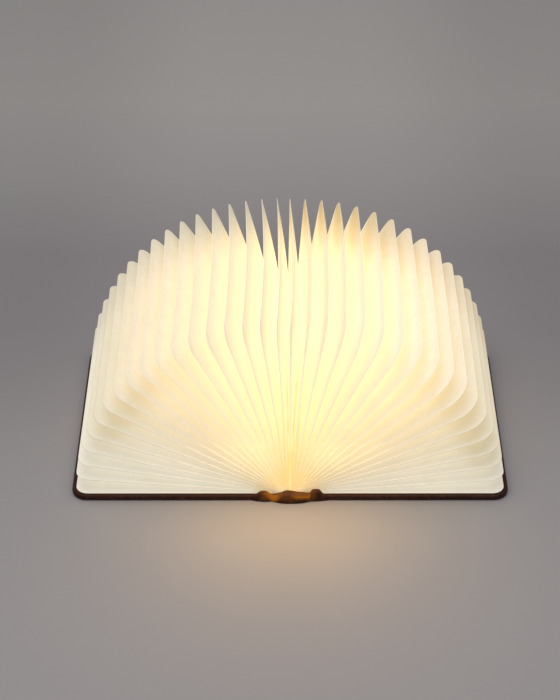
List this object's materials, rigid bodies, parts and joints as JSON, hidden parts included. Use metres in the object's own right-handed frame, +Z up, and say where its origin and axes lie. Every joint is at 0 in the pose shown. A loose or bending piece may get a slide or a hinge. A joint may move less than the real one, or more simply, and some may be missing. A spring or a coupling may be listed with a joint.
{
  "type": "folding book lamp",
  "caption": "Open book-shaped lamp: dark leather covers hinged to a lit spine, with a fan of glowing pleated pages between them.",
  "frame": {"origin": "centre of the base, on the surface that the open lamp lies on, midway along the spine", "axes": "+X to the right across both covers, +Y along the spine away from the viewer, +Z up"},
  "size_m": [0.365, 0.217, 0.1718],
  "materials": {
    "leather": "fine-grained dark brown leather, satin, worn paler on the edges",
    "greyboard": "plain pressed wood-fibre board, matt",
    "former_board": "dense dark fibre board, matt",
    "felt": "undyed pressed felt",
    "page_paper": "thin, tear-resistant bonded-fibre paper, cream, lets light through",
    "cream_plastic": "moulded, fine matt texture",
    "milky_plastic": "milky, translucent, satin",
    "white_aluminium": "white solder mask, satin",
    "diode_resin": "yellow phosphor resin, glossy",
    "cell_pouch": "foil pouch under matt film",
    "board_green": "green solder mask, semi-gloss",
    "reed_glass": "clear greenish glass",
    "socket_steel": "nickel-plated pressed steel",
    "screw_steel": "zinc-plated steel",
    "magnet_nickel": "bright nickel plate",
    "lead_red": "soft red insulation",
    "lead_grey": "soft dark grey insulation"
  },
  "bodies": {
    "spine": {"spine_strip": "greyboard", "spine_leather": "leather", "front_end_block": "former_board", "back_end_block": "former_board", "page_anchors": "felt", "light_bar_housing": "cream_plastic", "led_board": "white_aluminium", "leds": "diode_resin", "diffuser": "milky_plastic", "battery_cell": "cell_pouch", "control_board": "board_green", "reed_switch": "reed_glass", "charging_socket": "socket_steel", "housing_screws": "screw_steel", "battery_leads": "lead_red", "socket_leads": "lead_grey", "left_hinge_leather": "leather", "right_hinge_leather": "leather", "centre_pleat": "page_paper"},
    "left_cover": {"left_cover_board": "greyboard", "left_cover_leather": "leather", "left_cover_magnets": "magnet_nickel"},
    "right_cover": {"right_cover_board": "greyboard", "right_cover_leather": "leather", "right_cover_magnets": "magnet_nickel"},
    "left_pleat_01": {"left_pleat_01": "page_paper"},
    "left_pleat_02": {"left_pleat_02": "page_paper"},
    "left_pleat_03": {"left_pleat_03": "page_paper"},
    "left_pleat_04": {"left_pleat_04": "page_paper"},
    "left_pleat_05": {"left_pleat_05": "page_paper"},
    "left_pleat_06": {"left_pleat_06": "page_paper"},
    "left_pleat_07": {"left_pleat_07": "page_paper"},
    "left_pleat_08": {"left_pleat_08": "page_paper"},
    "left_pleat_09": {"left_pleat_09": "page_paper"},
    "left_pleat_10": {"left_pleat_10": "page_paper"},
    "left_pleat_11": {"left_pleat_11": "page_paper"},
    "left_pleat_12": {"left_pleat_12": "page_paper"},
    "left_pleat_13": {"left_pleat_13": "page_paper"},
    "left_pleat_14": {"left_pleat_14": "page_paper"},
    "left_pleat_15": {"left_pleat_15": "page_paper"},
    "left_pleat_16": {"left_pleat_16": "page_paper"},
    "left_pleat_17": {"left_pleat_17": "page_paper"},
    "left_pleat_18": {"left_pleat_18": "page_paper"},
    "right_pleat_01": {"right_pleat_01": "page_paper"},
    "right_pleat_02": {"right_pleat_02": "page_paper"},
    "right_pleat_03": {"right_pleat_03": "page_paper"},
    "right_pleat_04": {"right_pleat_04": "page_paper"},
    "right_pleat_05": {"right_pleat_05": "page_paper"},
    "right_pleat_06": {"right_pleat_06": "page_paper"},
    "right_pleat_07": {"right_pleat_07": "page_paper"},
    "right_pleat_08": {"right_pleat_08": "page_paper"},
    "right_pleat_09": {"right_pleat_09": "page_paper"},
    "right_pleat_10": {"right_pleat_10": "page_paper"},
    "right_pleat_11": {"right_pleat_11": "page_paper"},
    "right_pleat_12": {"right_pleat_12": "page_paper"},
    "right_pleat_13": {"right_pleat_13": "page_paper"},
    "right_pleat_14": {"right_pleat_14": "page_paper"},
    "right_pleat_15": {"right_pleat_15": "page_paper"},
    "right_pleat_16": {"right_pleat_16": "page_paper"},
    "right_pleat_17": {"right_pleat_17": "page_paper"}
  },
  "joints": [
    {"name": "left_fold", "type": "hinge", "parent": "spine", "child": "left_cover", "pos_m": [-0.0115, 0, 0.0015], "axis": [0, 1, 0], "range_deg": [-93, 90], "deforming": ["left_hinge_leather", "centre_pleat"]},
    {"name": "right_fold", "type": "hinge", "parent": "spine", "child": "right_cover", "pos_m": [0.0115, 0, 0.0015], "axis": [0, -1, 0], "range_deg": [-93, 90], "deforming": ["right_hinge_leather"]},
    {"name": "left_turn_01", "type": "hinge", "parent": "spine", "child": "left_pleat_01", "pos_m": [-0.0115, 0, 0.0015], "axis": [0, 1, 0], "range_deg": [-3.99, 3.87], "stiffness_Nm_per_rad": 1.5, "springref_deg": 2.71, "deforming": ["left_pleat_01"]},
    {"name": "left_turn_02", "type": "hinge", "parent": "left_pleat_01", "child": "left_pleat_02", "pos_m": [-0.0115, 0, 0.0015], "axis": [0, 1, 0], "range_deg": [-4.74, 4.59], "stiffness_Nm_per_rad": 1.5, "springref_deg": 2.7, "deforming": ["left_pleat_02"]},
    {"name": "left_turn_03", "type": "hinge", "parent": "left_pleat_02", "child": "left_pleat_03", "pos_m": [-0.0115, 0, 0.0015], "axis": [0, 1, 0], "range_deg": [-5.02, 4.87], "stiffness_Nm_per_rad": 1.5, "springref_deg": 2.69, "deforming": ["left_pleat_03"]},
    {"name": "left_turn_04", "type": "hinge", "parent": "left_pleat_03", "child": "left_pleat_04", "pos_m": [-0.0115, 0, 0.0015], "axis": [0, 1, 0], "range_deg": [-5.22, 5.06], "stiffness_Nm_per_rad": 1.5, "springref_deg": 2.66, "deforming": ["left_pleat_04"]},
    {"name": "left_turn_05", "type": "hinge", "parent": "left_pleat_04", "child": "left_pleat_05", "pos_m": [-0.0115, 0, 0.0015], "axis": [0, 1, 0], "range_deg": [-5.37, 5.2], "stiffness_Nm_per_rad": 1.5, "springref_deg": 2.61, "deforming": ["left_pleat_05"]},
    {"name": "left_turn_06", "type": "hinge", "parent": "left_pleat_05", "child": "left_pleat_06", "pos_m": [-0.0115, 0, 0.0015], "axis": [0, 1, 0], "range_deg": [-5.47, 5.3], "stiffness_Nm_per_rad": 1.5, "springref_deg": 2.53, "deforming": ["left_pleat_06"]},
    {"name": "left_turn_07", "type": "hinge", "parent": "left_pleat_06", "child": "left_pleat_07", "pos_m": [-0.0115, 0, 0.0015], "axis": [0, 1, 0], "range_deg": [-5.55, 5.38], "stiffness_Nm_per_rad": 1.5, "springref_deg": 2.43, "deforming": ["left_pleat_07"]},
    {"name": "left_turn_08", "type": "hinge", "parent": "left_pleat_07", "child": "left_pleat_08", "pos_m": [-0.0115, 0, 0.0015], "axis": [0, 1, 0], "range_deg": [-5.61, 5.43], "stiffness_Nm_per_rad": 1.5, "springref_deg": 2.31, "deforming": ["left_pleat_08"]},
    {"name": "left_turn_09", "type": "hinge", "parent": "left_pleat_08", "child": "left_pleat_09", "pos_m": [-0.0115, 0, 0.0015], "axis": [0, 1, 0], "range_deg": [-5.64, 5.47], "stiffness_Nm_per_rad": 1.5, "springref_deg": 2.17, "deforming": ["left_pleat_09"]},
    {"name": "left_turn_10", "type": "hinge", "parent": "left_pleat_09", "child": "left_pleat_10", "pos_m": [-0.0115, 0, 0.0015], "axis": [0, 1, 0], "range_deg": [-5.66, 5.48], "stiffness_Nm_per_rad": 1.5, "springref_deg": 2.01, "deforming": ["left_pleat_10"]},
    {"name": "left_turn_11", "type": "hinge", "parent": "left_pleat_10", "child": "left_pleat_11", "pos_m": [-0.0115, 0, 0.0015], "axis": [0, 1, 0], "range_deg": [-5.65, 5.48], "stiffness_Nm_per_rad": 1.5, "springref_deg": 1.83, "deforming": ["left_pleat_11"]},
    {"name": "left_turn_12", "type": "hinge", "parent": "left_pleat_11", "child": "left_pleat_12", "pos_m": [-0.0115, 0, 0.0015], "axis": [0, 1, 0], "range_deg": [-5.64, 5.46], "stiffness_Nm_per_rad": 1.5, "springref_deg": 1.63, "deforming": ["left_pleat_12"]},
    {"name": "left_turn_13", "type": "hinge", "parent": "left_pleat_12", "child": "left_pleat_13", "pos_m": [-0.0115, 0, 0.0015], "axis": [0, 1, 0], "range_deg": [-5.61, 5.44], "stiffness_Nm_per_rad": 1.5, "springref_deg": 1.42, "deforming": ["left_pleat_13"]},
    {"name": "left_turn_14", "type": "hinge", "parent": "left_pleat_13", "child": "left_pleat_14", "pos_m": [-0.0115, 0, 0.0015], "axis": [0, 1, 0], "range_deg": [-5.58, 5.4], "stiffness_Nm_per_rad": 1.5, "springref_deg": 1.2, "deforming": ["left_pleat_14"]},
    {"name": "left_turn_15", "type": "hinge", "parent": "left_pleat_14", "child": "left_pleat_15", "pos_m": [-0.0115, 0, 0.0015], "axis": [0, 1, 0], "range_deg": [-5.54, 5.36], "stiffness_Nm_per_rad": 1.5, "springref_deg": 0.96, "deforming": ["left_pleat_15"]},
    {"name": "left_turn_16", "type": "hinge", "parent": "left_pleat_15", "child": "left_pleat_16", "pos_m": [-0.0115, 0, 0.0015], "axis": [0, 1, 0], "range_deg": [-5.49, 5.32], "stiffness_Nm_per_rad": 1.5, "springref_deg": 0.72, "deforming": ["left_pleat_16"]},
    {"name": "left_turn_17", "type": "hinge", "parent": "left_pleat_16", "child": "left_pleat_17", "pos_m": [-0.0115, 0, 0.0015], "axis": [0, 1, 0], "range_deg": [-5.44, 5.27], "stiffness_Nm_per_rad": 1.5, "springref_deg": 0.48, "deforming": ["left_pleat_17"]},
    {"name": "left_turn_18", "type": "hinge", "parent": "left_pleat_17", "child": "left_pleat_18", "pos_m": [-0.0115, 0, 0.0015], "axis": [0, 1, 0], "range_deg": [-5.39, 5.22], "stiffness_Nm_per_rad": 1.5, "springref_deg": 0.22, "deforming": ["left_pleat_18"]},
    {"name": "right_turn_01", "type": "hinge", "parent": "spine", "child": "right_pleat_01", "pos_m": [0.0115, 0, 0.0015], "axis": [0, -1, 0], "range_deg": [-4.73, 4.59], "stiffness_Nm_per_rad": 1.5, "springref_deg": 2.65, "deforming": ["right_pleat_01"]},
    {"name": "right_turn_02", "type": "hinge", "parent": "right_pleat_01", "child": "right_pleat_02", "pos_m": [0.0115, 0, 0.0015], "axis": [0, -1, 0], "range_deg": [-5.12, 4.96], "stiffness_Nm_per_rad": 1.5, "springref_deg": 2.64, "deforming": ["right_pleat_02"]},
    {"name": "right_turn_03", "type": "hinge", "parent": "right_pleat_02", "child": "right_pleat_03", "pos_m": [0.0115, 0, 0.0015], "axis": [0, -1, 0], "range_deg": [-5.43, 5.26], "stiffness_Nm_per_rad": 1.5, "springref_deg": 2.62, "deforming": ["right_pleat_03"]},
    {"name": "right_turn_04", "type": "hinge", "parent": "right_pleat_03", "child": "right_pleat_04", "pos_m": [0.0115, 0, 0.0015], "axis": [0, -1, 0], "range_deg": [-5.72, 5.54], "stiffness_Nm_per_rad": 1.5, "springref_deg": 2.58, "deforming": ["right_pleat_04"]},
    {"name": "right_turn_05", "type": "hinge", "parent": "right_pleat_04", "child": "right_pleat_05", "pos_m": [0.0115, 0, 0.0015], "axis": [0, -1, 0], "range_deg": [-5.97, 5.78], "stiffness_Nm_per_rad": 1.5, "springref_deg": 2.52, "deforming": ["right_pleat_05"]},
    {"name": "right_turn_06", "type": "hinge", "parent": "right_pleat_05", "child": "right_pleat_06", "pos_m": [0.0115, 0, 0.0015], "axis": [0, -1, 0], "range_deg": [-6.15, 5.96], "stiffness_Nm_per_rad": 1.5, "springref_deg": 2.43, "deforming": ["right_pleat_06"]},
    {"name": "right_turn_07", "type": "hinge", "parent": "right_pleat_06", "child": "right_pleat_07", "pos_m": [0.0115, 0, 0.0015], "axis": [0, -1, 0], "range_deg": [-6.26, 6.07], "stiffness_Nm_per_rad": 1.5, "springref_deg": 2.31, "deforming": ["right_pleat_07"]},
    {"name": "right_turn_08", "type": "hinge", "parent": "right_pleat_07", "child": "right_pleat_08", "pos_m": [0.0115, 0, 0.0015], "axis": [0, -1, 0], "range_deg": [-6.29, 6.09], "stiffness_Nm_per_rad": 1.5, "springref_deg": 2.18, "deforming": ["right_pleat_08"]},
    {"name": "right_turn_09", "type": "hinge", "parent": "right_pleat_08", "child": "right_pleat_09", "pos_m": [0.0115, 0, 0.0015], "axis": [0, -1, 0], "range_deg": [-6.24, 6.05], "stiffness_Nm_per_rad": 1.5, "springref_deg": 2.02, "deforming": ["right_pleat_09"]},
    {"name": "right_turn_10", "type": "hinge", "parent": "right_pleat_09", "child": "right_pleat_10", "pos_m": [0.0115, 0, 0.0015], "axis": [0, -1, 0], "range_deg": [-6.13, 5.94], "stiffness_Nm_per_rad": 1.5, "springref_deg": 1.83, "deforming": ["right_pleat_10"]},
    {"name": "right_turn_11", "type": "hinge", "parent": "right_pleat_10", "child": "right_pleat_11", "pos_m": [0.0115, 0, 0.0015], "axis": [0, -1, 0], "range_deg": [-5.97, 5.79], "stiffness_Nm_per_rad": 1.5, "springref_deg": 1.64, "deforming": ["right_pleat_11"]},
    {"name": "right_turn_12", "type": "hinge", "parent": "right_pleat_11", "child": "right_pleat_12", "pos_m": [0.0115, 0, 0.0015], "axis": [0, -1, 0], "range_deg": [-5.79, 5.61], "stiffness_Nm_per_rad": 1.5, "springref_deg": 1.42, "deforming": ["right_pleat_12"]},
    {"name": "right_turn_13", "type": "hinge", "parent": "right_pleat_12", "child": "right_pleat_13", "pos_m": [0.0115, 0, 0.0015], "axis": [0, -1, 0], "range_deg": [-5.6, 5.42], "stiffness_Nm_per_rad": 1.5, "springref_deg": 1.2, "deforming": ["right_pleat_13"]},
    {"name": "right_turn_14", "type": "hinge", "parent": "right_pleat_13", "child": "right_pleat_14", "pos_m": [0.0115, 0, 0.0015], "axis": [0, -1, 0], "range_deg": [-5.42, 5.25], "stiffness_Nm_per_rad": 1.5, "springref_deg": 0.96, "deforming": ["right_pleat_14"]},
    {"name": "right_turn_15", "type": "hinge", "parent": "right_pleat_14", "child": "right_pleat_15", "pos_m": [0.0115, 0, 0.0015], "axis": [0, -1, 0], "range_deg": [-5.28, 5.11], "stiffness_Nm_per_rad": 1.5, "springref_deg": 0.72, "deforming": ["right_pleat_15"]},
    {"name": "right_turn_16", "type": "hinge", "parent": "right_pleat_15", "child": "right_pleat_16", "pos_m": [0.0115, 0, 0.0015], "axis": [0, -1, 0], "range_deg": [-5.18, 5.02], "stiffness_Nm_per_rad": 1.5, "springref_deg": 0.48, "deforming": ["right_pleat_16"]},
    {"name": "right_turn_17", "type": "hinge", "parent": "right_pleat_16", "child": "right_pleat_17", "pos_m": [0.0115, 0, 0.0015], "axis": [0, -1, 0], "range_deg": [-5.13, 4.97], "stiffness_Nm_per_rad": 1.5, "springref_deg": 0.22, "deforming": ["right_pleat_17"]}
  ],
  "couplings": [
    {"joint": "left_turn_01", "follows": "left_fold", "ratio": 0.040734},
    {"joint": "left_turn_02", "follows": "left_fold", "ratio": 0.048781},
    {"joint": "left_turn_03", "follows": "left_fold", "ratio": 0.051841},
    {"joint": "left_turn_04", "follows": "left_fold", "ratio": 0.053962},
    {"joint": "left_turn_05", "follows": "left_fold", "ratio": 0.05554},
    {"joint": "left_turn_06", "follows": "left_fold", "ratio": 0.05672},
    {"joint": "left_turn_07", "follows": "left_fold", "ratio": 0.057576},
    {"joint": "left_turn_08", "follows": "left_fold", "ratio": 0.05816},
    {"joint": "left_turn_09", "follows": "left_fold", "ratio": 0.058509},
    {"joint": "left_turn_10", "follows": "left_fold", "ratio": 0.058657},
    {"joint": "left_turn_11", "follows": "left_fold", "ratio": 0.058635},
    {"joint": "left_turn_12", "follows": "left_fold", "ratio": 0.058469},
    {"joint": "left_turn_13", "follows": "left_fold", "ratio": 0.058187},
    {"joint": "left_turn_14", "follows": "left_fold", "ratio": 0.057812},
    {"joint": "left_turn_15", "follows": "left_fold", "ratio": 0.057368},
    {"joint": "left_turn_16", "follows": "left_fold", "ratio": 0.056875},
    {"joint": "left_turn_17", "follows": "left_fold", "ratio": 0.056353},
    {"joint": "left_turn_18", "follows": "left_fold", "ratio": 0.055821},
    {"joint": "right_turn_01", "follows": "right_fold", "ratio": 0.04874},
    {"joint": "right_turn_02", "follows": "right_fold", "ratio": 0.052877},
    {"joint": "right_turn_03", "follows": "right_fold", "ratio": 0.056195},
    {"joint": "right_turn_04", "follows": "right_fold", "ratio": 0.05932},
    {"joint": "right_turn_05", "follows": "right_fold", "ratio": 0.061995},
    {"joint": "right_turn_06", "follows": "right_fold", "ratio": 0.06399},
    {"joint": "right_turn_07", "follows": "right_fold", "ratio": 0.065164},
    {"joint": "right_turn_08", "follows": "right_fold", "ratio": 0.065475},
    {"joint": "right_turn_09", "follows": "right_fold", "ratio": 0.064971},
    {"joint": "right_turn_10", "follows": "right_fold", "ratio": 0.06378},
    {"joint": "right_turn_11", "follows": "right_fold", "ratio": 0.062084},
    {"joint": "right_turn_12", "follows": "right_fold", "ratio": 0.0601},
    {"joint": "right_turn_13", "follows": "right_fold", "ratio": 0.058054},
    {"joint": "right_turn_14", "follows": "right_fold", "ratio": 0.05616},
    {"joint": "right_turn_15", "follows": "right_fold", "ratio": 0.0546},
    {"joint": "right_turn_16", "follows": "right_fold", "ratio": 0.053513},
    {"joint": "right_turn_17", "follows": "right_fold", "ratio": 0.052981}
  ]
}
